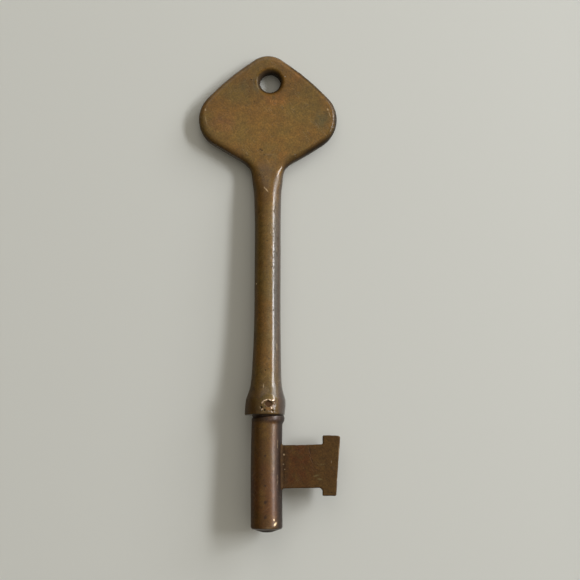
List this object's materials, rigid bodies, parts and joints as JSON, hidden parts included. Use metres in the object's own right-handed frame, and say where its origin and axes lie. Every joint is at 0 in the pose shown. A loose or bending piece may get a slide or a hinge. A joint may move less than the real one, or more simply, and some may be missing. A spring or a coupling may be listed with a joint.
{
  "type": "bit key",
  "caption": "Brass bit key: flat rounded-diamond bow with a ring hole, slim shank, collar, pinned stem and a flat T-shaped bit at the tip.",
  "frame": {"origin": "centre of the small flat on the stem's tip", "axes": "+Y along the key from the tip to the bow, +X towards the bit, +Z out of the face of the bow that shows the punch mark"},
  "size_m": [0.0293, 0.0983, 0.0082],
  "materials": {
    "bow_brass": "aged olive-brown brass, worn smooth, fine pits",
    "stem_brass": "aged red-brown brass, worn smooth",
    "bit_brass": "matt dark red-brown brass, filed",
    "pin_brass": "peened brass, bright on its raised edges"
  },
  "bodies": {
    "root": {"bow_and_shank": "bow_brass", "bit_stem": "stem_brass", "bit_plate": "bit_brass", "cross_pin": "pin_brass"}
  },
  "joints": []
}
